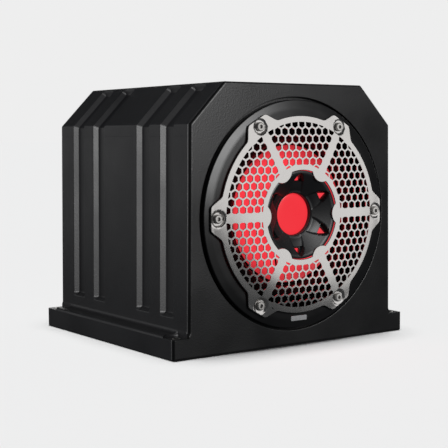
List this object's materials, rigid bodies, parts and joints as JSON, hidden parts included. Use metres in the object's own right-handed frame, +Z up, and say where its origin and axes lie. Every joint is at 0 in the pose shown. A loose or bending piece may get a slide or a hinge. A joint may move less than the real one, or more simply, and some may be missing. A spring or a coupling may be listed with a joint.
{
  "type": "powered car subwoofer",
  "caption": "Black moulded loudspeaker enclosure with a flanged base, ribbed sides, a round driver behind a lit hexagon grille, and an amplifier panel at the rear.",
  "frame": {"origin": "centre of the flat base, on the surface the enclosure stands on", "axes": "+X to the right seen from the front, -Y out of the front of the driver, +Z up"},
  "size_m": [0.3474, 0.3173, 0.31],
  "materials": {
    "amp_aluminium": "black anodised",
    "badge_metal": "satin",
    "baffle_plastic": "black moulded plastic, pebble grain",
    "base_board": "moulded",
    "basket_paint": "black powder coat",
    "black_screw_steel": "black oxide",
    "board_green": "solder mask",
    "capacitor_sleeve": "shrink sleeve",
    "coil_copper": "enamelled wire",
    "cone_pulp": "coated",
    "former_aluminium": "satin",
    "fuse_plastic": "translucent orange",
    "gasket_rubber": "matt",
    "grille_steel": "polished and brushed stainless",
    "jack_metal": "nickel",
    "jack_red": "moulded",
    "knob_plastic": "satin",
    "lamp_lens": "translucent blue",
    "led_chip": "clear",
    "lens_red": "translucent red",
    "magnet_ferrite": "dark grey ferrite",
    "motor_steel": "black zinc",
    "pod_plastic": "black satin",
    "pot_metal": "tinned",
    "ring_plastic": "black satin",
    "screw_steel": "stainless",
    "shell_plastic": "black moulded plastic, fine satin",
    "spider_cloth": "woven",
    "surround_rubber": "matt",
    "switch_plastic": "black",
    "terminal_brass": "plated",
    "terminal_plastic": "black",
    "transistor_epoxy": "moulded",
    "wire_black": "insulation"
  },
  "bodies": {
    "cabinet": {"amp_board": "board_green", "amp_gasket": "gasket_rubber", "amp_plate": "amp_aluminium", "amp_screws": "black_screw_steel", "baffle_gasket": "gasket_rubber", "baffle_screws": "black_screw_steel", "base_plate": "base_board", "base_screws": "black_screw_steel", "board_screws": "screw_steel", "capacitors": "capacitor_sleeve", "centre_pod": "pod_plastic", "chokes": "transistor_epoxy", "driver_basket": "basket_paint", "driver_gasket": "gasket_rubber", "driver_screws": "black_screw_steel", "enclosure_shell": "shell_plastic", "front_baffle": "baffle_plastic", "fuse_holder": "terminal_plastic", "fuses": "fuse_plastic", "grille": "grille_steel", "grille_screws": "screw_steel", "led_board": "board_green", "led_lead": "wire_black", "leds": "led_chip", "magnet": "magnet_ferrite", "magnet_boot": "surround_rubber", "mounting_sleeves": "screw_steel", "phase_switch_body": "pot_metal", "pod_back_lens": "lens_red", "pod_lens": "lens_red", "pole_piece": "motor_steel", "potentiometers": "pot_metal", "power_lamp": "lamp_lens", "power_terminal_block": "terminal_plastic", "power_transistors": "transistor_epoxy", "rca_centres": "jack_red", "rca_jacks": "jack_metal", "ring_badge": "badge_metal", "speaker_wires": "wire_black", "spider": "spider_cloth", "standoffs": "terminal_brass", "surround": "surround_rubber", "terminal_board": "board_green", "terminal_screws": "terminal_brass", "terminal_tabs": "terminal_brass", "tinsel_leads": "coil_copper", "top_plate": "motor_steel", "toroid": "coil_copper", "trim_ring": "ring_plastic"},
    "cone_assembly": {"cone": "cone_pulp", "dust_cap": "cone_pulp", "voice_coil_former": "former_aluminium", "voice_coil": "coil_copper"},
    "gain_knob": {"gain_knob": "knob_plastic"},
    "crossover_knob": {"crossover_knob": "knob_plastic"},
    "boost_knob": {"boost_knob": "knob_plastic"},
    "phase_switch": {"phase_switch_slider": "switch_plastic"}
  },
  "joints": [
    {"name": "cone_travel", "type": "slide", "parent": "cabinet", "child": "cone_assembly", "axis": [0, 1, 0], "range_m": [-0.008, 0.008], "stiffness_N_per_m": 4300, "deforming": ["surround", "spider", "tinsel_leads"]},
    {"name": "gain_turn", "type": "hinge", "parent": "cabinet", "child": "gain_knob", "pos_m": [-0.07, 0.1465, 0.122], "axis": [0, 1, 0], "range_deg": [-150, 150]},
    {"name": "crossover_turn", "type": "hinge", "parent": "cabinet", "child": "crossover_knob", "pos_m": [-0.035, 0.1465, 0.122], "axis": [0, 1, 0], "range_deg": [-150, 150]},
    {"name": "boost_turn", "type": "hinge", "parent": "cabinet", "child": "boost_knob", "pos_m": [0, 0.1465, 0.122], "axis": [0, 1, 0], "range_deg": [-150, 150]},
    {"name": "phase_switch_slide", "type": "slide", "parent": "cabinet", "child": "phase_switch", "axis": [1, 0, 0], "range_m": [0, 0.004]}
  ]
}
